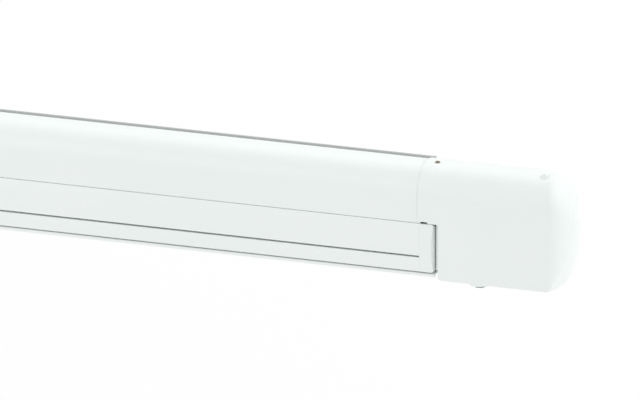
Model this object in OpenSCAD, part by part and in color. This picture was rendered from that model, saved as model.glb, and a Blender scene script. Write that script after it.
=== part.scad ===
// Roll out awning: wall-hung cassette with a crank-driven roller and two folding arms.
// X runs along the case, the wall is the plane y = 0, the front faces -Y, Z is up.

/* [Overall] */
// Length over the two end caps
overall_l = 2600; // [2400:10:3200]
// Reach of the open canopy in front of the closed lead bar
cloth_l = 2100; // [1900:10:2200]
// Slope of the arms and the open canopy
pitch = 8; // [6:0.5:9]

/* [Case] */
// Wall thickness of the case extrusion
case_wall = 2; // [1.6:0.1:2.4]
// Space between the wall and the case
wall_gap = 14; // [13:0.5:18]
// Free space between the rolled canopy and the case's front and rear
roll_gap = 5; // [4:0.5:8]
// Free space between the rolled canopy and the case's crown
crown_gap = 6.7; // [6:0.1:10]
// Radius of the case's front top corner
front_r = 31; // [26:0.5:34]
// Radius of the case's top
top_r = 72; // [66:1:90]
// Radius of the rolled edge at the bottom of the case's front
edge_r = 2.6; // [2.5:0.1:4]
// Height of the lip below the lead bar
lip_h = 3.9; // [3.4:0.1:4.5]

/* [Roller] */
// Height of the roller's axis
roller_z = 20; // [19:0.5:24]
// Diameter of the roller tube
tube_d = 55; // [50:0.5:58]
// Wall of the roller tube
tube_wall = 1.5; // [1.2:0.1:2]
// Thickness of the canopy cloth
cloth_t = 0.5; // [0.4:0.01:0.55]
// Diameter of the roller's shafts
shaft_d = 16; // [14:0.5:18]
// Radius of the keder rods
keder_r = 2.2; // [1.8:0.1:2.3]

/* [Lead bar] */
// Bulge of the lead bar's front
bar_bulge = 2.4; // [2:0.1:3]
// How far that bulge stands out over the case's front
bar_proud = 1.6; // [1:0.1:2]
// Wall of the lead bar
bar_wall = 1.8; // [1.6:0.1:2.2]
// Gap between the case's front and the lead bar below it
bar_gap = 0.1; // [0.08:0.02:0.3]
// Gap between the lead bar and the lip below it
lip_gap = 1.9; // [1.6:0.1:2.4]
// Free space between the lead bar and the arms behind it
bar_clear = 4; // [3.5:0.1:5]
// Height of the groove in the lead bar's front
groove_z = -42.3; // [-44:0.1:-40]
// Mouth of that groove
groove_h = 2.2; // [1.8:0.1:3]

/* [Arms] */
// Height of an arm tube
arm_h = 30; // [26:0.5:31]
// Width of an arm tube
arm_w = 18; // [16:0.5:18]
// Wall of an arm tube
arm_wall = 2; // [1.6:0.1:2.4]
// Space between the two tubes of a folded arm
arm_gap = 4; // [3.5:0.1:4.5]
// Space between the rolled canopy and the arms below it
roll_clear = 9.5; // [8:0.1:10]
// Space between the arms and the case's floor
floor_gap = 4.05; // [3.5:0.05:4.5]
// Radius of the arm pins
pin_r = 4.5; // [4:0.1:5]

/* [End caps] */
// Length of an end cap without its dome
cap_l = 155; // [150:1:180]
// Height of the dome at an end cap's end
dome_h = 24; // [20:1:28]
// Bow of the dome's rim along the cap's front
front_bow = 2.5; // [2:0.1:4]
// Bow of the dome's rim along the cap's rear
rear_bow = 9; // [7:0.1:10]
// Bow of the dome's rim along the cap's bottom
floor_bow = 9.8; // [8:0.1:13]
// How far an end cap stands out over the case
cap_step = 1.5; // [1.4:0.1:2]
// Wall of an end cap
cap_wall = 2.5; // [2.2:0.1:3]
// Level of an end cap's flat bottom
cap_bottom = -69.3; // [-72:0.1:-68.5]
// How far the case reaches into an end cap
cap_lap = 21; // [18:0.5:22]
// Radius of the collar around the crank socket
collar_r = 12; // [11:0.5:13]
// Radius of the crank socket
crank_r = 6.4; // [6:0.1:7]

/* [Wall brackets] */
// Width of a wall bracket
bracket_w = 110; // [100:1:140]
// Plate thickness of a wall bracket
bracket_t = 4; // [3.5:0.1:5]
// Distance between the bolt holes along the case
bolt_x = 72; // [60:1:80]
// Distance between the bolt holes' rows
bolt_z = 32; // [28:1:34]
// Radius of a bolt hole
bolt_r = 4.2; // [3.5:0.1:4.5]

/* [Fits] */
// Clearance of a sleeve or a plug on its mate
slip = 0.2; // [0.15:0.01:0.3]
// Radial clearance of a turning pin
run = 0.08; // [0.05:0.01:0.1]
// Clearance between a fork's ear and its tongue
side_gap = 0.4; // [0.3:0.05:0.6]

/* [Hidden] */
$fn = 48;
roll_r = sqrt(tube_d * tube_d / 4 + cloth_l * cloth_t / PI);
back_y = -wall_gap;
roller_y = back_y - case_wall - roll_gap - roll_r;
front_y = roller_y - roll_r - roll_gap - case_wall;
crown_z = roller_z + roll_r + crown_gap + case_wall;
front_cy = front_y + front_r;
seam_z = -3.4;
notch_z = seam_z + 1.7;
bar_top = seam_z - bar_gap;
slope = tan(pitch);
lip_up = 0.5;
seam_x = overall_l / 2 - dome_h - cap_l;
dome_x = overall_l / 2 - dome_h;
case_end = seam_x + cap_lap;
plate_x = case_end + slip;
plate_t = 4.4;
plate_end = plate_x + plate_t;
notch_x = plate_end + slip;
bar_end = seam_x + 3;
plug_end = plate_x - 1.2;
arm_step = arm_w + arm_gap;
shoulder_x = case_end - 52;
shoulder_y = back_y - case_wall - 3 - arm_w / 2;
arm_l = shoulder_x - 60;
arm_rest = asin(arm_step / 2 / arm_l);
elbow_x = -arm_l * cos(arm_rest);
elbow_y = -arm_step / 2;
ear_z = arm_h / 2 - 4;
cast_z = arm_h / 2 + 2;
tongue_z = ear_z - side_gap;
shoulder_z = roller_z - roll_r - roll_clear - arm_h / 2 / cos(pitch) + (shoulder_y - roller_y) * slope;
floor_w = -arm_h / 2 - floor_gap;
bar_rear = shoulder_y - arm_step - arm_w / 2 - bar_clear;
bar_low = floor_z(front_y) + lip_gap;
bar_zc = (bar_top + bar_low) / 2;
bar_half = bar_top - bar_zc;
bar_r = (bar_half * bar_half + bar_bulge * bar_bulge) / 2 / bar_bulge;
cloth_w = roll_r + 0.8;
keder_at = (roller_y - bar_rear + 7 + cloth_w * sin(pitch)) / cos(pitch);
dome_c = [roller_y + 2.75, -1.2];
dome_oval = [46.7, 78.6];
rail_z = 33.2;
foot_y = back_y - 12;
foot_z = floor_z(foot_y) - case_wall / cos(pitch) - 4.2;
lock_y = back_y - 6;
spring_x = -0.41 * arm_l;
crank_x = seam_x + 70.7;
crank_y = roller_y - 24.5;
cloth_x = case_end - 42;
tube_x = case_end - 17;
bracket_x = seam_x - 190;
knuckle_r = arm_w / 2 + 0.3;
port_y = back_y - 5.5;
port_at = [[front_cy - 19.7, crown_z - front_r + 17],
    [port_y, crown_z - top_r + sqrt(pow(top_r, 2) - pow(port_y - front_cy, 2)) - 6.8]];

// Level of the case's floor, inside, at a depth y
function floor_z(y) = shoulder_z + (y - shoulder_y) * slope + floor_w / cos(pitch);

// Points of an arc from angle a to angle b
function arc(cy, cz, r, a, b, n) =
    [for (i = [0:n]) [cy, cz] + r * [cos(a + (b - a) * i / n), sin(a + (b - a) * i / n)]];

// Angle of the top arc, grown by g, at the rear plane
function rear_angle(g) = acos((back_y + g - front_cy) / (top_r + g));

// Front corner and top of the section, grown by g
function crown(g) = concat(
    arc(front_cy, crown_z - front_r, front_r + g, 180, 90, 16),
    arc(front_cy, crown_z - top_r, top_r + g, 88, rear_angle(g), 14));

// One face of the case's wall, from the rolled front edge round to the lip
function case_face(g) = concat(
    arc(front_y + edge_r, seam_z + edge_r, edge_r + g, 270, 180, 6),
    crown(g),
    [[back_y + g, floor_z(back_y + g) - (case_wall + g) / cos(pitch)],
     [front_y + lip_h / 2, floor_z(front_y + lip_h / 2) - (case_wall + g) / cos(pitch)]]);

// Lower corners of an end cap at its front and its rear, grown by g
function cap_toe(g) = arc(front_y - cap_step + 4, cap_bottom + 4, 4 + g, 270, 180, 5);
function cap_heel(g) = arc(back_y + cap_step - 4, cap_bottom + 4, 4 + g, 0, -90, 5);

// Outline of an end cap, grown by g
function cap_face(g) = concat(cap_toe(g), crown(cap_step + g), cap_heel(g));

// Points between a and b on a bow that stands out by h
function bow(a, b, h) = [for (i = [1:7])
    a + (b - a) * i / 8 + [a[1] - b[1], b[0] - a[0]] / norm(b - a) * h * (1 - pow(i / 4 - 1, 2))];

// Rim of an end cap's dome, grown by g: the cap's outline with its straight sides bowed out
function dome_rim(g) = let (toe = cap_toe(g), top = crown(cap_step + g), heel = cap_heel(g)) concat(
    toe, bow(toe[5], top[0], front_bow),
    top, bow(top[len(top) - 1], heel[0], rear_bow),
    heel, bow(heel[5], toe[0], floor_bow));

// Depth of the lead bar's front at a height z, set in by t
function bar_y(z, t) = front_y - bar_proud + bar_r - sqrt(pow(bar_r - t, 2) - pow(z - bar_zc, 2));

// The lead bar's front from height a to height b, set in by t
function bar_front(a, b, t) = [for (i = [0:12]) [bar_y(a + (b - a) * i / 12, t), a + (b - a) * i / 12]];

function flip(v) = [for (i = [len(v) - 1:-1:0]) v[i]];

// The one part to draw, or all of them

// Extrudes a section drawn as depth and height along the case
module along_x(a, b) {
    translate([a, 0, 0])
        rotate([90, 0, 90])
            linear_extrude(b - a)
                children();
}

// Extrudes a section drawn as length and height from depth b to the front, to depth a
module across(a, b) {
    translate([0, b, 0])
        rotate([90, 0, 0])
            linear_extrude(b - a)
                children();
}

// Frame of the right arm: origin on the shoulder's axis, z along it
module arm_frame() {
    translate([shoulder_x, shoulder_y, shoulder_z])
        rotate([pitch, 0, 0])
            children();
}

module box(x, y, z) {
    translate([x[0], y[0], z[0]])
        cube([x[1] - x[0], y[1] - y[0], z[1] - z[0]]);
}

// Upright cylinder from height a to height b
module post(x, y, r, a, b) {
    translate([x, y, a])
        cylinder(r = r, h = b - a);
}

module rounded(w, h, r) {
    square([w - 2 * r, h], center = true);
    square([w, h - 2 * r], center = true);
    for (y = [-1, 1], z = [-1, 1])
        translate([y * (w / 2 - r), z * (h / 2 - r)])
            circle(r);
}

// Pan head screw pointing along -Z, head on z = 0
module screw(r, l) {
    cylinder(r = 1.8 * r, h = 0.9 * r);
    translate([0, 0, 0.9 * r])
        cylinder(r1 = 1.8 * r, r2 = 1.2 * r, h = 0.4 * r);
    translate([0, 0, -l])
        cylinder(r = r, h = l);
}

// Case

module screw_ports() {
    for (p = port_at)
        translate(p)
            children();
}

// Rail on the case's rear that hangs over the wall brackets' hooks
module hook_rail() {
    along_x(1 - seam_x, seam_x - 1) {
        translate([back_y - case_wall / 2, rail_z])
            square([wall_gap - bracket_t - 0.8 + case_wall / 2, 2.6]);
        translate([-bracket_t - 3, rail_z - 6.2])
            square([2.2, 8]);
    }
}

module case_profile() {
    color("white") {
        hook_rail();
        difference() {
            along_x(-case_end, case_end)
                difference() {
                    union() {
                        polygon(concat(case_face(0), flip(case_face(-case_wall))));
                        translate([front_y + lip_h / 2, floor_z(front_y) + lip_up - lip_h / 2])
                            circle(lip_h / 2);
                        intersection() {
                            polygon(crown_fill(-case_wall / 2));
                            screw_ports()
                                circle(4);
                        }
                    }
                    screw_ports()
                        circle(2);
                    gasket_seat()
                        translate([-2.1, -1])
                            square([4.2, 4]);
                }
            for (s = [0, 1])
                mirror([s, 0, 0]) {
                    top_screw()
                        translate([0, 0, -6])
                            cylinder(r = 2, h = 8);
                    drain_slot();
                }
        }
    }
}

// The crown as a filled shape, grown by g
function crown_fill(g) = concat(crown(g), [[back_y + g, 0], [front_y - g, 0]]);

// Frame on the case's top where the gasket sits
module gasket_seat() {
    translate([front_cy, crown_z - top_r])
        rotate(-30)
            translate([0, top_r])
                children();
}

module top_gasket() {
    color("dimgray")
        along_x(-seam_x + 1, seam_x - 1)
            gasket_seat() {
                translate([-2, -1])
                    square([4, 3]);
                translate([-1.2, 0])
                    rotate(30)
                        square([3.2, 3.8]);
            }
}

// Frame of a cap's top screw, z out of the case
module top_screw() {
    translate([seam_x + 15, front_cy, crown_z - front_r])
        rotate([6, 0, 0])
            translate([0, 0, front_r])
                children();
}

// Frame of a cap's rivet, z out of the cap
module rivet_seat() {
    translate([dome_x - 9, front_cy, crown_z - front_r])
        rotate([16, 0, 0])
            translate([0, 0, front_r + cap_step])
                children();
}

// Slot above the lead bar's plug, through the case and the cap
module drain_slot() {
    box([seam_x + 4, seam_x + 13], [front_y - 5, front_y + 6], [seam_z - 1, notch_z + 1.4]);
}

// A point v from the dome's middle drawn in to a share s, and rounder the further in it is
function drawn_in(v, s) = v * s * (s + (1 - s) / norm([v[0] / dome_oval[0], v[1] / dome_oval[1]]));

// One slice of a cap's dome, the rim drawn in to a share s
module dome_slice(g, s) {
    translate([dome_x + (dome_h + g) * pow(1 - pow(s, 1.6), 1 / 1.6), dome_c[0], dome_c[1]])
        along_x(-0.02, 0)
            polygon([for (p = dome_rim(g)) drawn_in(p - dome_c, s)]);
}

// An end cap as a full shape, grown by g, with n steps in its dome
module cap_solid(g, n) {
    along_x(seam_x, dome_x)
        polygon(cap_face(g));
    intersection() {
        along_x(dome_x - 0.01, overall_l / 2 + 1)
            polygon(cap_face(g));
        hull()
            for (i = [0:n])
                dome_slice(g, cos(88 * i / n));
    }
}

// Opening in a cap for the lead bar's end, seen from the front
module cap_notch() {
    difference() {
        translate([seam_x - 1, cap_bottom - 10])
            square([notch_x - seam_x + 1, notch_z - cap_bottom + 10]);
        difference() {
            translate([notch_x - 3, notch_z - 3])
                square(4);
            translate([notch_x - 3, notch_z - 3])
                circle(3);
        }
    }
    difference() {
        translate([notch_x - 1, cap_bottom - 1])
            square([5.5, 5.5]);
        translate([notch_x + 4.5, cap_bottom + 4.5])
            circle(4.5);
    }
}

module cap_body() {
    difference() {
        union() {
            difference() {
                cap_solid(0, 18);
                cap_solid(-cap_wall, 8);
            }
            along_x(notch_x, notch_x + cap_wall)
                intersection() {
                    polygon(cap_face(-cap_wall / 2));
                    translate([front_y, cap_bottom])
                        square([-front_y, notch_z - 6 - cap_bottom]);
                }
        }
        along_x(seam_x - 1, case_end + 0.5)
            polygon(cap_face(slip - cap_step));
        along_x(seam_x + 0.3, seam_x + 0.7)
            difference() {
                polygon(cap_face(1));
                polygon(cap_face(-0.4));
            }
        across(front_y - 20, 0)
            cap_notch();
        drain_slot();
        top_screw() {
            translate([0, 0, -6])
                cylinder(r = 2, h = 12);
            translate([0, 0, 0.3])
                cylinder(r1 = 2, r2 = 3.4, h = 1.4);
        }
        rivet_seat() {
            translate([0, 0, -0.6])
                cylinder(r = 5.6, h = 4);
            translate([0, 0, -6])
                cylinder(r = 2 + slip, h = 8);
        }
    }
}

module right_end_cap() {
    color("white")
        difference() {
            union() {
                cap_body();
                post(crank_x, crank_y, collar_r, cap_bottom - 3.2, cap_bottom + 6);
            }
            post(crank_x, crank_y, crank_r + slip, cap_bottom - 4, cap_bottom + 7);
        }
}

module left_end_cap() {
    color("white")
        mirror([1, 0, 0])
            cap_body();
}

module cap_screws() {
    color("gray")
        top_screw()
            difference() {
                union() {
                    translate([0, 0, 0.4])
                        cylinder(r1 = 1.9, r2 = 2.7, h = 0.9);
                    translate([0, 0, 1.3])
                        cylinder(r = 2.7, h = 0.9);
                    translate([0, 0, 2.2])
                        cylinder(r1 = 2.7, r2 = 1.9, h = 0.5);
                    translate([0, 0, -5])
                        cylinder(r = 1.9, h = 5.5);
                }
                box([-1.7, 1.7], [-0.4, 0.4], [1.8, 3]);
                box([-0.4, 0.4], [-1.7, 1.7], [1.8, 3]);
            }
}

module right_cap_screws() {
    cap_screws();
}

module left_cap_screws() {
    mirror([1, 0, 0])
        cap_screws();
}

// Moulded rivet that locks a cap from above
module cap_rivet() {
    color("white")
        rivet_seat() {
            rotate_extrude()
                polygon([[0, -0.6], [5.3, -0.6], [5.3, 0], [4.6, 0.5], [3.4, 0.8], [2.5, 1.5], [1.7, 2.2],
                    [0.8, 2.4], [0.6, 1.4], [0, 1.4]]);
            translate([0, 0, -4.5])
                cylinder(r = 2, h = 4);
        }
}

module right_cap_rivet() {
    cap_rivet();
}

module left_cap_rivet() {
    mirror([1, 0, 0])
        cap_rivet();
}

// End plates

module end_plate() {
    color("silver")
        difference() {
            along_x(plate_x, plate_end)
                difference() {
                    polygon(cap_face(-cap_wall - slip));
                    translate([roller_y, roller_z])
                        circle(shaft_d / 2 + 5);
                    screw_ports()
                        circle(2);
                }
            box([plate_x - 1, notch_x], [front_y - 20, front_y + 5.5], [cap_bottom - 1, notch_z]);
            box([plate_x - 1, notch_x], [front_y - 20, bar_rear], [cap_bottom - 1, floor_z(front_y) + 4]);
        }
}

module right_end_plate() {
    end_plate();
}

module left_end_plate() {
    mirror([1, 0, 0])
        end_plate();
}

module roller_bush() {
    color("black")
        along_x(plate_x - 2, plate_end)
            translate([roller_y, roller_z])
                difference() {
                    circle(shaft_d / 2 + 5);
                    circle(shaft_d / 2 + run);
                }
}

module right_roller_bush() {
    roller_bush();
}

module left_roller_bush() {
    mirror([1, 0, 0])
        roller_bush();
}

module end_plate_screws() {
    color("gray")
        for (s = [0, 1])
            mirror([s, 0, 0])
                for (p = port_at)
                    translate([plate_end, p[0], p[1]])
                        rotate([0, 90, 0])
                            screw(1.9, 20);
}

module winch_gearbox() {
    color("silver")
        difference() {
            union() {
                along_x(plate_end, crank_x + 18)
                    translate([roller_y, roller_z])
                        circle(24);
                post(crank_x, crank_y, 13, roller_z - 34, roller_z + 12);
                box([crank_x - 13, crank_x + 13], [crank_y, roller_y], [roller_z - 20, roller_z + 20]);
            }
            along_x(plate_end - 1, plate_end + 26)
                translate([roller_y, roller_z])
                    circle(shaft_d / 2 + run);
            post(crank_x, crank_y, crank_r + run, roller_z - 35, roller_z);
        }
}

module crank_socket() {
    color("dimgray")
        difference() {
            post(crank_x, crank_y, crank_r, cap_bottom - 5.8, roller_z - slip);
            post(crank_x, crank_y, 4, cap_bottom - 8, cap_bottom + 14);
        }
}

// Roller

module tube_groove() {
    translate([0, tube_d / 2 - 3.6])
        children();
}

module roller_tube() {
    color("silver")
        along_x(-tube_x, tube_x)
            translate([roller_y, roller_z])
                difference() {
                    union() {
                        difference() {
                            circle(tube_d / 2);
                            circle(tube_d / 2 - tube_wall);
                        }
                        tube_groove()
                            circle(keder_r + 1.3);
                    }
                    tube_groove()
                        circle(keder_r + 0.1);
                    translate([-0.8, tube_d / 2 - 4])
                        square([1.6, 5]);
                }
}

module rear_keder() {
    color("white")
        along_x(-cloth_x, cloth_x)
            translate([roller_y, roller_z]) {
                tube_groove()
                    circle(keder_r);
                translate([-0.6, tube_d / 2 - 3.6])
                    square([1.2, 3.4]);
            }
}

module roller_end(reach) {
    color("silver")
        translate([0, roller_y, roller_z]) {
            along_x(tube_x - 20, tube_x)
                difference() {
                    circle(tube_d / 2 - tube_wall - slip);
                    tube_groove()
                        circle(keder_r + 1.3 + slip);
                }
            along_x(tube_x, tube_x + 3)
                circle(tube_d / 2);
            along_x(tube_x + 3, reach)
                circle(shaft_d / 2);
        }
}

module roller_end_right() {
    roller_end(plate_end + 25);
}

module roller_end_left() {
    mirror([1, 0, 0])
        roller_end(plate_end + 4);
}

module rolled_canopy() {
    color("lightgray")
        along_x(-cloth_x, cloth_x)
            translate([roller_y, roller_z])
                difference() {
                    circle(roll_r);
                    circle(tube_d / 2);
                }
}

// Frame of the cloth between the roll and the lead bar: origin on the roller's axis, -Y along the slope
module cloth_frame() {
    translate([0, roller_y, roller_z])
        rotate([pitch, 0, 0])
            children();
}

module canopy_hem() {
    color("lightgray")
        cloth_frame()
            box([-cloth_x, cloth_x], [10 - keder_at, -2], [-cloth_w - 0.5, -cloth_w + 0.5]);
}

module keder_seat() {
    translate([roller_y, roller_z])
        rotate(pitch)
            translate([-keder_at, -cloth_w])
                children();
}

module front_keder() {
    color("lightgray")
        along_x(-cloth_x, cloth_x)
            keder_seat() {
                circle(keder_r);
                translate([0, -0.5])
                    square([9.7, 1]);
            }
}

// Arms

module arm_tube(a, b, y) {
    color("white")
        translate([0, y, 0])
            along_x(a, b)
                difference() {
                    rounded(arm_w, arm_h, 3);
                    rounded(arm_w - 2 * arm_wall, arm_h - 2 * arm_wall, 1);
                }
}

// Block that fits in the end of a tube, and the collar on its end
module arm_spigot(a, b, y, dir) {
    translate([0, y, 0]) {
        along_x(min(a, b), max(a, b))
            square([arm_w - 2 * arm_wall - 2 * slip, arm_h - 2 * arm_wall - 2 * slip], center = true);
        along_x(min(a, a + 2 * dir), max(a, a + 2 * dir))
            rounded(arm_w, arm_h, 3);
    }
}

module inner_arm_tube() {
    arm_tube(elbow_x + 26, -24, 0);
}

module shoulder_knuckle() {
    color("silver")
        difference() {
            union() {
                post(0, 0, knuckle_r, -tongue_z, tongue_z);
                box([-23, 0], [-arm_w / 2 + 1, arm_w / 2 - 1], [-tongue_z, tongue_z]);
                arm_spigot(-24, -44, 0, 1);
            }
            post(0, 0, pin_r + run, -cast_z, cast_z);
        }
}

module elbow_fork() {
    color("silver")
        difference() {
            union() {
                for (s = [-1, 1])
                    translate([0, 0, s * (ear_z + arm_h / 2) / 2])
                        linear_extrude(arm_h / 2 - ear_z, center = true) {
                            translate([elbow_x, elbow_y])
                                circle(10);
                            polygon([[elbow_x, elbow_y - 6], [elbow_x + 22, 2 - arm_w / 2],
                                [elbow_x + 25, 2 - arm_w / 2], [elbow_x + 25, arm_w / 2],
                                [elbow_x + 12, arm_w / 2], [elbow_x - 7, elbow_y + 7]]);
                        }
                box([elbow_x + 15, elbow_x + 25], [-4, arm_w / 2], [-arm_h / 2, arm_h / 2]);
                arm_spigot(elbow_x + 26, elbow_x + 46, 0, -1);
            }
            post(elbow_x, elbow_y, pin_r, -cast_z, cast_z);
        }
}

module pin(x, y) {
    color("gray") {
        post(x, y, pin_r, -cast_z, cast_z - 2);
        post(x, y, pin_r + 1.8, arm_h / 2, cast_z);
        post(x, y, pin_r + 1.8, -cast_z, -arm_h / 2);
    }
}

module arm_spring() {
    color("gray") {
        along_x(spring_x, -60)
            circle(arm_w / 2 - arm_wall - slip);
        along_x(-60, -44)
            circle(2);
    }
}

module arm_cable() {
    color("black")
        along_x(elbow_x + 46, spring_x)
            circle(1.5);
}

module outer_arm_tube() {
    arm_tube(elbow_x + 28, -26, -arm_step);
}

module elbow_tongue() {
    color("silver")
        difference() {
            union() {
                translate([elbow_x, elbow_y, -tongue_z])
                    linear_extrude(2 * tongue_z) {
                        circle(10);
                        polygon([[-6, -8], [27, -arm_step / 2 - arm_w / 2 + 1],
                            [27, elbow_y + arm_w / 2 - 1], [5, 8.6]]);
                    }
                arm_spigot(elbow_x + 28, elbow_x + 48, -arm_step, -1);
            }
            post(elbow_x, elbow_y, pin_r + run, -cast_z, cast_z);
        }
}

module wrist_tongue() {
    color("silver")
        difference() {
            union() {
                post(0, -arm_step, 8.5, -tongue_z, tongue_z);
                box([-25, 0], [-arm_step - 7, -arm_step + 7], [-tongue_z, tongue_z]);
                arm_spigot(-26, -46, -arm_step, 1);
            }
            post(0, -arm_step, pin_r + run, -cast_z, cast_z);
        }
}

module shoulder_bracket() {
    color("silver")
        difference() {
            union() {
                for (z = [[floor_w, -ear_z], [ear_z, arm_h / 2]]) {
                    post(0, 0, knuckle_r, z[0], z[1]);
                    box([0, 24], [-knuckle_r, knuckle_r], z);
                }
                box([13, 24], [-knuckle_r, knuckle_r], [floor_w, arm_h / 2]);
            }
            post(0, 0, pin_r, -cast_z - 1, cast_z);
        }
}

module wrist_bracket() {
    color("silver")
        difference() {
            union() {
                translate([shoulder_x, 0, 0])
                    box([-16, 16], [bar_rear, bar_rear + 2], [shoulder_z - 20, shoulder_z + 12]);
                intersection() {
                    arm_frame()
                        for (s = [-1, 1])
                            translate([0, 0, s * (ear_z + arm_h / 2) / 2])
                                linear_extrude(arm_h / 2 - ear_z, center = true) {
                                    translate([0, -arm_step])
                                        circle(8.5);
                                    translate([-8.5, -arm_step - 20])
                                        square([17, 20]);
                                }
                    box([shoulder_x - 20, shoulder_x + 20], [bar_rear, 0], [-100, 0]);
                }
            }
            arm_frame()
                post(0, -arm_step, pin_r, -cast_z, cast_z);
        }
}

// The left wrist turns on its bracket with play, as the one pivot where the two arms' loop is left open
module wrist_pin() {
    arm_frame()
        pin(0, -arm_step);
}

module right_inner_arm_tube() {
    arm_frame()
        inner_arm_tube();
}

module right_shoulder_knuckle() {
    arm_frame()
        shoulder_knuckle();
}

module right_elbow_fork() {
    arm_frame()
        elbow_fork();
}

module right_elbow_pin() {
    arm_frame()
        pin(elbow_x, elbow_y);
}

module right_arm_spring() {
    arm_frame()
        arm_spring();
}

module right_arm_cable() {
    arm_frame()
        arm_cable();
}

module right_outer_arm_tube() {
    arm_frame()
        outer_arm_tube();
}

module right_elbow_tongue() {
    arm_frame()
        elbow_tongue();
}

module right_wrist_tongue() {
    arm_frame()
        wrist_tongue();
}

module right_shoulder_bracket() {
    arm_frame()
        shoulder_bracket();
}

module right_shoulder_pin() {
    color("gray")
        arm_frame() {
            post(0, 0, pin_r, -cast_z, arm_h / 2);
            post(0, 0, pin_r + 1.8, arm_h / 2, cast_z);
        }
}

module right_wrist_bracket() {
    wrist_bracket();
}

module right_wrist_pin() {
    wrist_pin();
}

module left_inner_arm_tube() {
    mirror([1, 0, 0])
        right_inner_arm_tube();
}

module left_shoulder_knuckle() {
    mirror([1, 0, 0])
        right_shoulder_knuckle();
}

module left_elbow_fork() {
    mirror([1, 0, 0])
        right_elbow_fork();
}

module left_elbow_pin() {
    mirror([1, 0, 0])
        right_elbow_pin();
}

module left_arm_spring() {
    mirror([1, 0, 0])
        right_arm_spring();
}

module left_arm_cable() {
    mirror([1, 0, 0])
        right_arm_cable();
}

module left_outer_arm_tube() {
    mirror([1, 0, 0])
        right_outer_arm_tube();
}

module left_elbow_tongue() {
    mirror([1, 0, 0])
        right_elbow_tongue();
}

module left_wrist_tongue() {
    mirror([1, 0, 0])
        right_wrist_tongue();
}

module left_shoulder_bracket() {
    mirror([1, 0, 0])
        right_shoulder_bracket();
}

module left_shoulder_pin() {
    mirror([1, 0, 0])
        right_shoulder_pin();
}

module left_wrist_bracket() {
    mirror([1, 0, 0])
        wrist_bracket();
}

module left_wrist_pin() {
    mirror([1, 0, 0])
        wrist_pin();
}

// Lead bar

// Underside of the lead bar at a depth y, set in by t
function bar_floor(y, t) = floor_z(y) + (lip_gap + t) / cos(pitch);

module bar_outline() {
    polygon(concat(
        bar_front(bar_low, bar_top, 0),
        [[front_y + 12, bar_top], [front_y + 23.5, bar_top - 9], [bar_rear - 3.5, bar_top - 9.6],
         [bar_rear - 3.5, bar_top - 17], [bar_rear, bar_top - 17], [bar_rear, bar_floor(bar_rear, 0)],
         [front_y + 5, bar_floor(front_y + 5, 0)]]));
}

module lead_bar_profile() {
    color("white")
        along_x(-bar_end, bar_end)
            difference() {
                bar_outline();
                polygon(concat(
                    bar_front(groove_z + 5.5, bar_top - bar_wall, bar_wall),
                    [[front_y + 11.5, bar_top - bar_wall], [front_y + 19.5, bar_top - 8.5],
                     [front_y + 19.5, bar_top - 18.8], [bar_rear - bar_wall, bar_top - 18.8],
                     [bar_rear - bar_wall, groove_z + 5.5]]));
                polygon(concat(
                    bar_front(bar_low + bar_wall + 2, groove_z - 5.5, bar_wall),
                    [[bar_rear - bar_wall, groove_z - 5.5],
                     [bar_rear - bar_wall, bar_floor(bar_rear, bar_wall)],
                     [front_y + 8, bar_floor(front_y + 8, bar_wall)]]));
                translate([front_y + 6, groove_z])
                    circle(3.5);
                translate([front_y - 3, groove_z - groove_h / 2])
                    square([8, groove_h]);
                keder_seat() {
                    circle(keder_r + 0.1);
                    translate([0, -0.7])
                        square([8, 1.4]);
                }
            }
}

// A bar's end from length a to length b, with its far corners rounded
module bar_tip(a, b, low, high, r) {
    translate([a, low])
        square([b - r - a, high - low]);
    translate([a, low + r])
        square([b - a, high - low - 2 * r]);
    for (z = [low + r, high - r])
        translate([b - r, z])
            circle(r);
}

module lead_bar_plug() {
    color("white") {
        intersection() {
            along_x(bar_end + 0.1, plug_end)
                bar_outline();
            across(front_y - 5, bar_rear)
                bar_tip(bar_end, plug_end, bar_low, bar_top, 3.5);
            translate([0, 0, bar_low - 5])
                linear_extrude(bar_top - bar_low + 10)
                    bar_tip(bar_end, plug_end, front_y - bar_proud, bar_rear + 4, 4.5);
        }
        along_x(bar_end - 20, bar_end + 1)
            translate([front_y + 10, groove_z + 7])
                square([bar_rear - front_y - 10 - bar_wall - slip, 12]);
    }
}

module right_lead_bar_plug() {
    lead_bar_plug();
}

module left_lead_bar_plug() {
    mirror([1, 0, 0])
        lead_bar_plug();
}

// Wall brackets

module bracket() {
    color("silver")
        difference() {
            along_x(-bracket_w / 2, bracket_w / 2) {
                translate([-bracket_t, foot_z])
                    square([bracket_t, rail_z + 2.8 - foot_z]);
                translate([-bracket_t - 5.8, rail_z - 9.2])
                    square([6, 2.5]);
                translate([-bracket_t - 5.8, rail_z - 9.2])
                    square([2.4, 9.2]);
                translate([back_y, foot_z + 18])
                    square([wall_gap - 1, 6]);
                translate([foot_y, foot_z])
                    square([-foot_y - 1, 3]);
            }
            for (x = [-1, 1], z = [-1, 1])
                translate([x * bolt_x / 2, 1, z * bolt_z / 2])
                    rotate([90, 0, 0])
                        cylinder(r = bolt_r, h = bracket_t + 2);
            post(0, lock_y, 2.5, foot_z - 1, foot_z + 4);
        }
}

module wall_bracket_left() {
    translate([-bracket_x, 0, 0])
        bracket();
}

module wall_bracket_center() {
    bracket();
}

module wall_bracket_right() {
    translate([bracket_x, 0, 0])
        bracket();
}

module bracket_lock_screws() {
    color("gray")
        for (x = [-bracket_x, 0, bracket_x]) {
            post(x, lock_y, 2.5, foot_z, floor_z(lock_y) - case_wall / cos(pitch) - 0.4);
            post(x, lock_y, 4.5, foot_z - 3, foot_z);
        }
}

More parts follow.
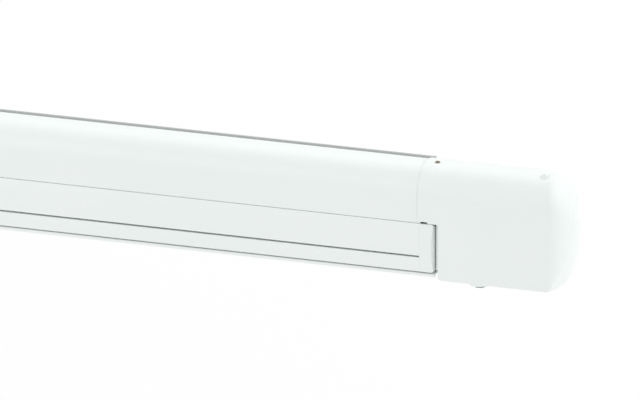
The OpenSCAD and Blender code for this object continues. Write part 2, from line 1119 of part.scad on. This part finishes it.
case_profile();
top_gasket();
right_end_cap();
left_end_cap();
right_end_plate();
left_end_plate();
right_roller_bush();
left_roller_bush();
winch_gearbox();
right_shoulder_bracket();
left_shoulder_bracket();
right_shoulder_pin();
left_shoulder_pin();
right_cap_screws();
left_cap_screws();
right_cap_rivet();
left_cap_rivet();
end_plate_screws();
wall_bracket_left();
wall_bracket_center();
wall_bracket_right();
bracket_lock_screws();
roller_tube();
roller_end_left();
roller_end_right();
rolled_canopy();
rear_keder();
crank_socket();
right_inner_arm_tube();
right_shoulder_knuckle();
right_elbow_fork();
right_elbow_pin();
right_arm_spring();
right_arm_cable();
right_outer_arm_tube();
right_elbow_tongue();
right_wrist_tongue();
left_inner_arm_tube();
left_shoulder_knuckle();
left_elbow_fork();
left_elbow_pin();
left_arm_spring();
left_arm_cable();
left_outer_arm_tube();
left_elbow_tongue();
left_wrist_tongue();
lead_bar_profile();
right_lead_bar_plug();
left_lead_bar_plug();
right_wrist_bracket();
left_wrist_bracket();
right_wrist_pin();
left_wrist_pin();
front_keder();
canopy_hem();
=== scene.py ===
import math
import bpy
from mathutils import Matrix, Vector


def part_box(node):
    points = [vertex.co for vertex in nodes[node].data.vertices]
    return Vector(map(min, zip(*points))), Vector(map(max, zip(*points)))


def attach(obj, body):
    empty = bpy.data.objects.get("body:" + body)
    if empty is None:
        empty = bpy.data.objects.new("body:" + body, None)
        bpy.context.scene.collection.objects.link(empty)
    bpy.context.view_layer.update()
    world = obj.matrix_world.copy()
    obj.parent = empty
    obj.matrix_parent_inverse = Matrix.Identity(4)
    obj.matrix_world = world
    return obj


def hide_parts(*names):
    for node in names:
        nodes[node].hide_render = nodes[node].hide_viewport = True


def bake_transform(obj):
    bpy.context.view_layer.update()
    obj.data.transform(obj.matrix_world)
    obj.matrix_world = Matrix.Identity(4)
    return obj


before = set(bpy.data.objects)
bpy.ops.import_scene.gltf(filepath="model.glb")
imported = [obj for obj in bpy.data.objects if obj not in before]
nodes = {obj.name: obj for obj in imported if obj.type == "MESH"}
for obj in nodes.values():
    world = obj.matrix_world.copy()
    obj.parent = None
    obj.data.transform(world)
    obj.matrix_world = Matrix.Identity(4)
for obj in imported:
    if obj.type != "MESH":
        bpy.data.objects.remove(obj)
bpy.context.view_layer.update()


def linear(colour):
    """An sRGB hex colour as linear red, green, blue and alpha."""
    parts = [int(colour[i:i + 2], 16) / 255 for i in (1, 3, 5)]
    return [c / 12.92 if c <= 0.04045 else ((c + 0.055) / 1.055) ** 2.4 for c in parts] + [1.0]


def feed(node, inputs):
    """Sets a node's inputs, each to a value or to the output that feeds it."""
    for name, value in inputs.items():
        if isinstance(value, bpy.types.NodeSocket):
            node.id_data.links.new(value, node.inputs[name])
        else:
            node.inputs[name].default_value = value


def add(tree, kind, inputs=None, **settings):
    """Adds a node with its own settings and its inputs."""
    node = tree.nodes.new(kind)
    for name, value in settings.items():
        setattr(node, name, value)
    feed(node, inputs or {})
    return node


# Places of a colour mix's share and its two colours among its inputs, and of the colour among its outputs.
share, first, second, mixed = 0, 6, 7, 2


def new_material(name):
    """A material with its node tree and shader, and the place of a point on the object in metres."""
    made = bpy.data.materials.new(name)
    made.use_nodes = True
    tree = made.node_tree
    place = add(tree, "ShaderNodeTexCoord").outputs["Object"]
    return made, tree, tree.nodes["Principled BSDF"], place


def dress(material, *names):
    """Gives CAD nodes a material."""
    for name in names:
        data = nodes[name].data
        data.materials.clear()
        data.materials.append(material)


# Mill-finish aluminium as it leaves the die: fine lines along the length, a soft grey shine.
# The lines are about 0.3 mm apart on the real one, and drawn 2 mm apart so that they show.
mill_aluminium, tree, shader, place = new_material("mill_finish_aluminium")
die_lines = add(tree, "ShaderNodeMapping", {"Vector": place, "Scale": (2.0, 500.0, 500.0)})
streaks = add(tree, "ShaderNodeTexNoise",
              {"Vector": die_lines.outputs[0], "Scale": 1.0, "Detail": 3.0}).outputs["Fac"]
tint = add(tree, "ShaderNodeMix", {share: streaks, first: linear("#A6A9AB"), second: linear("#C6C8C9")},
           data_type="RGBA")
gloss = add(tree, "ShaderNodeMapRange", {"Value": streaks, "To Min": 0.3, "To Max": 0.46})
relief = add(tree, "ShaderNodeBump", {"Height": streaks, "Strength": 0.15, "Distance": 0.0001})
feed(shader, {"Base Color": tint.outputs[mixed], "Roughness": gloss.outputs[0], "Normal": relief.outputs[0],
              "Metallic": 1.0})
dress(mill_aluminium, "wall_bracket_left", "wall_bracket_center", "wall_bracket_right")

# Zinc-plated steel: cool grey with an uneven shine from the plating bath, cloudy in patches of 2.5 mm.
zinc_steel, tree, shader, place = new_material("zinc_plated_steel")
clouds = add(tree, "ShaderNodeTexNoise", {"Vector": place, "Scale": 400.0, "Detail": 4.0}).outputs["Fac"]
tint = add(tree, "ShaderNodeMix", {share: clouds, first: linear("#7E8285"), second: linear("#A9ACAE")},
           data_type="RGBA")
gloss = add(tree, "ShaderNodeMapRange", {"Value": clouds, "To Min": 0.28, "To Max": 0.5})
feed(shader, {"Base Color": tint.outputs[mixed], "Roughness": gloss.outputs[0], "Metallic": 1.0})
dress(zinc_steel, "bracket_lock_screws")


# Case: one long extruded aluminium section, open below its front, powder coated white inside and out.
# It carries everything else, and its lip closes the gap under the lead bar.

# Polyester powder coat: satin white with a faint orange peel of about 2.5 mm and hardly any colour change.
powder_coat, tree, shader, place = new_material("powder_coated_aluminium")
peel = add(tree, "ShaderNodeTexNoise", {"Vector": place, "Scale": 400.0, "Detail": 2.0}).outputs["Fac"]
drift = add(tree, "ShaderNodeTexNoise", {"Vector": place, "Scale": 6.0, "Detail": 2.0}).outputs["Fac"]
tint = add(tree, "ShaderNodeMix", {share: drift, first: linear("#E9EFED"), second: linear("#EDF2F0")},
           data_type="RGBA")
gloss = add(tree, "ShaderNodeMapRange", {"Value": peel, "To Min": 0.36, "To Max": 0.48})
relief = add(tree, "ShaderNodeBump", {"Height": peel, "Strength": 0.08, "Distance": 0.0002})
feed(shader, {"Base Color": tint.outputs[mixed], "Roughness": gloss.outputs[0], "Normal": relief.outputs[0],
              "IOR": 1.52})
dress(powder_coat, "case_profile")


# Gasket: a grey rubber strip, extruded in one length and pushed into a seat along the top of the case.
# It lies against the wall and keeps rain from running down behind the case.

# Extruded EPDM rubber, bleached grey by the weather: matt, with a fine grain of about 1 mm.
grey_rubber, tree, shader, place = new_material("epdm_rubber")
grain = add(tree, "ShaderNodeTexNoise", {"Vector": place, "Scale": 900.0, "Detail": 3.0}).outputs["Fac"]
tint = add(tree, "ShaderNodeMix", {share: grain, first: linear("#ABADAE"), second: linear("#BEC0C1")},
           data_type="RGBA")
relief = add(tree, "ShaderNodeBump", {"Height": grain, "Strength": 0.2, "Distance": 0.0003})
feed(shader, {"Base Color": tint.outputs[mixed], "Normal": relief.outputs[0], "Roughness": 0.75, "IOR": 1.48})
dress(grey_rubber, "top_gasket")


# End plates, winch and shoulder brackets: die-cast aluminium, screwed into the ends and floor of the case.
# The plates are coated like the case and carry the roller in plastic bushes. The winch turns it.

# Die-cast aluminium, blasted: dull grey, with the grainy skin of the mould at about 1.5 mm.
cast_aluminium, tree, shader, place = new_material("die_cast_aluminium")
skin = add(tree, "ShaderNodeTexNoise", {"Vector": place, "Scale": 650.0, "Detail": 5.0}).outputs["Fac"]
tint = add(tree, "ShaderNodeMix", {share: skin, first: linear("#8F9294"), second: linear("#B4B6B8")},
           data_type="RGBA")
relief = add(tree, "ShaderNodeBump", {"Height": skin, "Strength": 0.3, "Distance": 0.0003})
feed(shader, {"Base Color": tint.outputs[mixed], "Normal": relief.outputs[0], "Roughness": 0.5,
              "Metallic": 1.0})
dress(cast_aluminium, "winch_gearbox", "right_shoulder_bracket", "left_shoulder_bracket")
dress(powder_coat, "right_end_plate", "left_end_plate")
dress(zinc_steel, "right_shoulder_pin", "left_shoulder_pin", "end_plate_screws")

# Turned acetal: black, waxy, with lathe rings 0.2 mm apart, drawn 2 mm apart so that they show.
# At scale 1, one wave of the wave texture is a twentieth of a full turn long.
black_acetal, tree, shader, place = new_material("turned_acetal")
one_wave = math.tau / 20
ring_spacing = 0.002
rings = add(tree, "ShaderNodeTexWave",
            {"Vector": place, "Scale": one_wave / ring_spacing, "Distortion": 0.4},
            bands_direction="X").outputs["Fac"]
gloss = add(tree, "ShaderNodeMapRange", {"Value": rings, "To Min": 0.35, "To Max": 0.5})
tint = add(tree, "ShaderNodeMix", {share: rings, first: linear("#141414"), second: linear("#1D1D1E")},
           data_type="RGBA")
feed(shader, {"Base Color": tint.outputs[mixed], "Roughness": gloss.outputs[0], "IOR": 1.48})
dress(black_acetal, "right_roller_bush", "left_roller_bush")

# Blackened steel of the crank socket: dark, oily, rubbed lighter in patches of about 5 mm.
dark_steel, tree, shader, place = new_material("blackened_steel")
rub = add(tree, "ShaderNodeTexNoise", {"Vector": place, "Scale": 220.0, "Detail": 4.0}).outputs["Fac"]
tint = add(tree, "ShaderNodeMix", {share: rub, first: linear("#2C2D2F"), second: linear("#55575A")},
           data_type="RGBA")
gloss = add(tree, "ShaderNodeMapRange", {"Value": rub, "To Min": 0.35, "To Max": 0.6})
feed(shader, {"Base Color": tint.outputs[mixed], "Roughness": gloss.outputs[0], "Metallic": 0.8})
dress(dark_steel, "crank_socket")


# End caps: white mouldings pushed over the case's ends, each held by a screw and a push rivet in its top.
# The right one has the collar for the crank below.

# Moulded ASA: satin white, a little brighter than the coat, with a spark-eroded grain of about 0.6 mm,
# drawn at 1.5 mm so that it shows.
moulded_asa, tree, shader, place = new_material("moulded_asa")
grain = add(tree, "ShaderNodeTexNoise", {"Vector": place, "Scale": 650.0, "Detail": 3.0}).outputs["Fac"]
drift = add(tree, "ShaderNodeTexNoise", {"Vector": place, "Scale": 12.0, "Detail": 2.0}).outputs["Fac"]
tint = add(tree, "ShaderNodeMix", {share: drift, first: linear("#E9EFED"), second: linear("#EDF2F0")},
           data_type="RGBA")
gloss = add(tree, "ShaderNodeMapRange", {"Value": grain, "To Min": 0.42, "To Max": 0.56})
relief = add(tree, "ShaderNodeBump", {"Height": grain, "Strength": 0.08, "Distance": 0.0002})
feed(shader, {"Base Color": tint.outputs[mixed], "Roughness": gloss.outputs[0], "Normal": relief.outputs[0],
              "IOR": 1.52})
dress(moulded_asa, "right_end_cap", "left_end_cap")

# Natural nylon of the push rivets: uncoloured, waxy, faintly cloudy over 2 mm. Its grey, darker than the cap,
# is partly the nylon's own tone and partly painted shade standing in for the shade around the rivet.
nylon_with_painted_shade, tree, shader, place = new_material("nylon_with_painted_shade")
clouds = add(tree, "ShaderNodeTexNoise", {"Vector": place, "Scale": 500.0, "Detail": 2.0}).outputs["Fac"]
tint = add(tree, "ShaderNodeMix", {share: clouds, first: linear("#E0E5E3"), second: linear("#E7ECEA")},
           data_type="RGBA")
feed(shader, {"Base Color": tint.outputs[mixed], "Roughness": 0.45, "IOR": 1.53})
dress(nylon_with_painted_shade, "right_cap_rivet", "left_cap_rivet")

# Yellow-passivated zinc on the cap screws: a dull tan shine, cloudy from the bath, in patches of 1 mm.
yellow_zinc, tree, shader, place = new_material("yellow_passivated_zinc")
clouds = add(tree, "ShaderNodeTexNoise", {"Vector": place, "Scale": 900.0, "Detail": 3.0}).outputs["Fac"]
tint = add(tree, "ShaderNodeMix", {share: clouds, first: linear("#7D7260"), second: linear("#A29680")},
           data_type="RGBA")
gloss = add(tree, "ShaderNodeMapRange", {"Value": clouds, "To Min": 0.4, "To Max": 0.6})
feed(shader, {"Base Color": tint.outputs[mixed], "Roughness": gloss.outputs[0], "Metallic": 1.0})
dress(yellow_zinc, "right_cap_screws", "left_cap_screws")


# Roller: an extruded aluminium tube, left plain, with a groove that holds the rod in the cloth's rear edge.
# Cast plugs close its ends, and their turned shafts run in the bushes of the end plates.
dress(mill_aluminium, "roller_tube")
dress(cast_aluminium, "roller_end_left", "roller_end_right")


# Canopy: 2.2 m of woven acrylic, rolled eleven times round the tube, with a welded rod in each edge.
# Its last stretch runs down to the lead bar, and follows it out as the roller turns.
pitch = math.radians(8)
cloth_half, cloth_length = 1.1, 2.1
cloth_thick = 0.0005
tube_radius = 0.0276
inside_cad = 0.0001
roll_low, roll_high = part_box("rolled_canopy")
roller_y = (roll_low.y + roll_high.y) / 2
roller_z = (roll_low.z + roll_high.z) / 2
roll_radius = (roll_high.z - roll_low.z) / 2 - inside_cad

# Solution-dyed acrylic, plain weave: matt grey in two tones, in bands 120 mm wide that run out from the case.
# The threads are 0.5 mm apart on the real cloth, and drawn 6 mm apart so that they show.
canopy_cloth, tree, shader, place = new_material("woven_acrylic")
thread_spacing, band_pair = 0.006, 0.24
warp, weft = [add(tree, "ShaderNodeTexWave",
                  {"Vector": place, "Scale": one_wave / thread_spacing, "Distortion": 0.6},
                  bands_direction=way).outputs["Fac"] for way in "XY"]
threads = add(tree, "ShaderNodeMath", {0: warp, 1: weft}, operation="MULTIPLY").outputs[0]
bands = add(tree, "ShaderNodeTexWave", {"Vector": place, "Scale": one_wave / band_pair}, bands_direction="X")
stripes = add(tree, "ShaderNodeValToRGB", {"Fac": bands.outputs["Fac"]})
for stop, position, colour in zip(stripes.color_ramp.elements, (0.48, 0.52), ("#7F8487", "#B3B7B9")):
    stop.position = position
    stop.color = linear(colour)
shade = add(tree, "ShaderNodeMix", {share: 0.25, first: stripes.outputs["Color"], second: threads},
            data_type="RGBA", blend_type="MULTIPLY")
relief = add(tree, "ShaderNodeBump", {"Height": threads, "Strength": 0.25, "Distance": 0.0004})
feed(shader, {"Base Color": shade.outputs[mixed], "Normal": relief.outputs[0], "Roughness": 0.85, "IOR": 1.49,
              "Sheen Weight": 0.2})

sharp_bend = math.radians(35)


def piece(name, points, faces, material):
    """A new object from points in metres and faces of their numbers, smooth where it bends gently."""
    data = bpy.data.meshes.new(name)
    data.from_pydata(points, [], faces)
    data.materials.append(material)
    data.shade_smooth()
    data.set_sharp_from_angle(angle=sharp_bend)
    made = bpy.data.objects.new(name, data)
    bpy.context.scene.collection.objects.link(made)
    return made


def ribbon(rows, stations):
    """Points and faces of a strip: each row is a depth and height, repeated at stations along the case."""
    points = [(x, y, z) for y, z in rows for x in stations]
    wide = len(stations)
    faces = [(i * wide + k, i * wide + k + 1, (i + 1) * wide + k + 1, (i + 1) * wide + k)
             for i in range(len(rows) - 1) for k in range(wide - 1)]
    return points, faces


stretches = 44
along = [-cloth_half + 2 * cloth_half * i / stretches for i in range(stretches + 1)]
turns = (roll_radius - tube_radius) / cloth_thick
steps = 40
leave = -math.pi / 2 + pitch
spiral = []
for i in range(int(turns * steps) + 1):
    radius = roll_radius - i / steps * cloth_thick
    angle = leave + i / steps * 2 * math.pi
    spiral.append((roller_y + radius * math.cos(angle), roller_z + radius * math.sin(angle)))
roll = piece("canopy_roll", *ribbon(spiral, along), canopy_cloth)
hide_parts("rolled_canopy")
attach(roll, "roller")

# Each row sits where that curve reaches the row's share of the way, so that the rows are evenly spaced
# when the awning is open.
keder_radius = 0.0022
loop_tail, tail_gap = 0.0097, 0.0001
run_clear = 0.0006
keder_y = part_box("front_keder")[0].y + keder_radius
keder_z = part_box("front_keder")[0].z + keder_radius
keder_ahead = (roller_y - keder_y) * math.cos(pitch) + (roller_z - keder_z) * math.sin(pitch)
run_start, run_end = 0.0002, keder_ahead - loop_tail - tail_gap
run_rows, halvings = 60, 40
rows = []
for i in range(run_rows + 1):
    low, high = 0.0, 1.0
    for _ in range(halvings):
        middle = (low + high) / 2
        if middle * middle * (3 - 2 * middle) < i / run_rows:
            low = middle
        else:
            high = middle
    rows.append(run_start + (run_end - run_start) * low)


def on_slope(ahead, below):
    """Depth and height of a point ahead of the roller's axis along the canopy's slope, and below it."""
    return (roller_y - ahead * math.cos(pitch) + below * math.sin(pitch),
            roller_z - ahead * math.sin(pitch) - below * math.cos(pitch))


drop = roll_radius + run_clear
run = piece("canopy_run", *ribbon([on_slope(ahead, drop) for ahead in rows], along), canopy_cloth)
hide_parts("canopy_hem")
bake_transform(run)

# Welded PVC rods in the cloth's two edges, white and slightly glossy, with the ripple of the welding wheel
# 4 mm apart, drawn 8 mm apart so that it shows.
welded_pvc, tree, shader, place = new_material("welded_pvc")
ripple_spacing = 0.008
ripple = add(tree, "ShaderNodeTexWave",
             {"Vector": place, "Scale": one_wave / ripple_spacing, "Distortion": 1.0},
             bands_direction="X").outputs["Fac"]
tint = add(tree, "ShaderNodeMix", {share: ripple, first: linear("#C9CBCB"), second: linear("#D6D8D8")},
           data_type="RGBA")
relief = add(tree, "ShaderNodeBump", {"Height": ripple, "Strength": 0.2, "Distance": 0.0003})
feed(shader, {"Base Color": tint.outputs[mixed], "Normal": relief.outputs[0], "Roughness": 0.4, "IOR": 1.53})
dress(welded_pvc, "rear_keder")

# The front edge is a loop of the cloth welded to itself, with the rod inside, slid into the lead bar.
# The loop opens towards the roller, and its two layers run back as a tail.
loop_steps = 24
loop_mouth = 13
loop = [(loop_tail, cloth_thick)]
for i in range(loop_steps + 1):
    turn = math.radians(loop_mouth + (360 - 2 * loop_mouth) * i / loop_steps)
    loop.append((keder_radius * math.cos(turn), keder_radius * math.sin(turn)))
loop += [(loop_tail, -cloth_thick), (loop_tail, cloth_thick)]
loop_rows = [(keder_y + back * math.cos(pitch) - high * math.sin(pitch),
              keder_z + back * math.sin(pitch) + high * math.cos(pitch)) for back, high in loop]
edge_loop = piece("canopy_edge_loop", *ribbon(loop_rows, along), canopy_cloth)
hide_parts("front_keder")
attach(edge_loop, "lead_bar")

rod_radius = keder_radius - cloth_thick
rod_turns = [math.radians(360 / loop_steps * i) for i in range(loop_steps + 1)]
points, faces = ribbon([(keder_y + rod_radius * math.cos(turn), keder_z + rod_radius * math.sin(turn))
                        for turn in rod_turns], along)
wide = len(along)
faces += [tuple(i * wide for i in range(loop_steps)),
          tuple(i * wide + wide - 1 for i in reversed(range(loop_steps)))]
rod = piece("canopy_edge_rod", points, faces, welded_pvc)
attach(rod, "lead_bar")


# Folding arms: white extruded tubes with cast ends, turning on steel pins at shoulder, elbow and wrist.
# A spring in each inner tube pulls the arm open through a cable.
for side in ("right", "left"):
    dress(powder_coat, side + "_inner_arm_tube", side + "_outer_arm_tube")
    dress(cast_aluminium, side + "_shoulder_knuckle", side + "_elbow_fork", side + "_elbow_tongue",
          side + "_wrist_tongue", side + "_wrist_bracket")
    dress(zinc_steel, side + "_elbow_pin", side + "_wrist_pin", side + "_arm_spring")
    dress(dark_steel, side + "_arm_cable")


# Lead bar: the extruded front rail, coated like the case, with a groove for hangers along its front.
# Its ends are closed by moulded plugs.
dress(powder_coat, "lead_bar_profile")
dress(moulded_asa, "right_lead_bar_plug", "left_lead_bar_plug")


# Studio: a pale floor well below the awning, clear from underneath, even light all round, and three lamps.
# The camera is far off with a long lens, so that the edges along the case stay parallel.
floor_half, floor_z = 60.0, -0.45
floor_data = bpy.data.meshes.new("studio_floor")
corners = [(x * floor_half, y * floor_half, floor_z) for x, y in ((-1, -1), (1, -1), (1, 1), (-1, 1))]
floor_data.from_pydata(corners, [], [(0, 1, 2, 3)])
studio_floor = bpy.data.objects.new("studio_floor", floor_data)
bpy.context.scene.collection.objects.link(studio_floor)


def looked_at(tree):
    """One where the camera sees a point straight, in a mirror or through glass, and otherwise zero."""
    rays = add(tree, "ShaderNodeLightPath").outputs
    direct = add(tree, "ShaderNodeMath", {0: rays["Is Camera Ray"], 1: rays["Is Glossy Ray"]})
    return add(tree, "ShaderNodeMath", {0: direct.outputs[0], 1: rays["Is Transmission Ray"]},
               use_clamp=True).outputs[0]


# Painted floor, matt and pale. The eye sees it as white, with a fifth of the awning's shadow kept in the
# middle and fading out from 1.0 to 1.8 m.
pale_floor, tree, shader, place = new_material("pale_floor")
feed(shader, {"Base Color": linear("#F2F2F2"), "Roughness": 0.9})
away = add(tree, "ShaderNodeVectorMath", {0: place}, operation="LENGTH")
fade = add(tree, "ShaderNodeMapRange",
           {"Value": away.outputs["Value"], "From Min": 1.0, "From Max": 1.8, "To Min": 0.8})
whiteness = add(tree, "ShaderNodeMath", {0: looked_at(tree), 1: fade.outputs[0]}, operation="MULTIPLY")
white = add(tree, "ShaderNodeEmission", {"Color": linear("#FFFFFF"), "Strength": 1.0})
seen = add(tree, "ShaderNodeMixShader", {0: whiteness.outputs[0], 1: shader.outputs[0], 2: white.outputs[0]})
underside = add(tree, "ShaderNodeNewGeometry").outputs["Backfacing"]
clear = add(tree, "ShaderNodeBsdfTransparent")
open_below = add(tree, "ShaderNodeMixShader", {0: underside, 1: seen.outputs[0], 2: clear.outputs[0]})
feed(tree.nodes["Material Output"], {"Surface": open_below.outputs[0]})
floor_data.materials.append(pale_floor)

world = bpy.data.worlds.new("studio")
bpy.context.scene.world = world
world.use_nodes = True
tree = world.node_tree
even = tree.nodes["Background"]
feed(even, {"Color": linear("#FFFFFF"), "Strength": 0.73})
bright = add(tree, "ShaderNodeBackground", {"Color": linear("#FFFFFF"), "Strength": 1.0})
seen = add(tree, "ShaderNodeMixShader", {0: looked_at(tree), 1: even.outputs[0], 2: bright.outputs[0]})
feed(tree.nodes["World Output"], {"Surface": seen.outputs[0]})

lamp_side = 3.0


def lamp(name, place, aim, watts):
    """A square area lamp at a place, turned to a point."""
    data = bpy.data.lights.new(name, "AREA")
    data.size = lamp_side
    data.energy = watts
    made = bpy.data.objects.new(name, data)
    made.location = place
    made.rotation_euler = (Vector(aim) - Vector(place)).to_track_quat("-Z", "Y").to_euler()
    bpy.context.scene.collection.objects.link(made)


lamp("lamp_above", place=(0.6, 1.4, 3.1), aim=(0.6, 0, 0), watts=36)
lamp("lamp_front", place=(-1.2, -4.0, 1.5), aim=(0.6, 0, 0), watts=45)
lamp("lamp_right", place=(4.2, 1.2, 1.2), aim=(1.2, 0, 0), watts=46)

# The picture is 0.7273 m wide at the awning. The point where the seam between case and cap crosses the front
# falls on one pixel of it.
azimuth, elevation = math.radians(20), math.radians(17.5)
picture_across, picture_down = 640, 400
picture_wide = 0.7273
seam_front = Vector((1.121, -0.09404, 0.0211))
seam_across, seam_down = 417, 203
back = Vector((math.sin(azimuth) * math.cos(elevation),
               -math.cos(azimuth) * math.cos(elevation), math.sin(elevation)))
right = Vector((math.cos(azimuth), math.sin(azimuth), 0))
up = back.cross(right)
pixel = picture_wide / picture_across
aim = (seam_front - right * (seam_across - picture_across / 2) * pixel
       + up * (seam_down - picture_down / 2) * pixel)
camera_data = bpy.data.cameras.new("camera")
camera_data.lens = 1000
camera_data.sensor_width = 36
distance = picture_wide * camera_data.lens / camera_data.sensor_width
camera_data.clip_end = 3 * distance
camera = bpy.data.objects.new("camera", camera_data)
camera.location = aim + back * distance
camera.rotation_euler = (-back).to_track_quat("-Z", "Y").to_euler()
bpy.context.scene.collection.objects.link(camera)
bpy.context.scene.camera = camera
bpy.context.scene.view_settings.view_transform = "Standard"
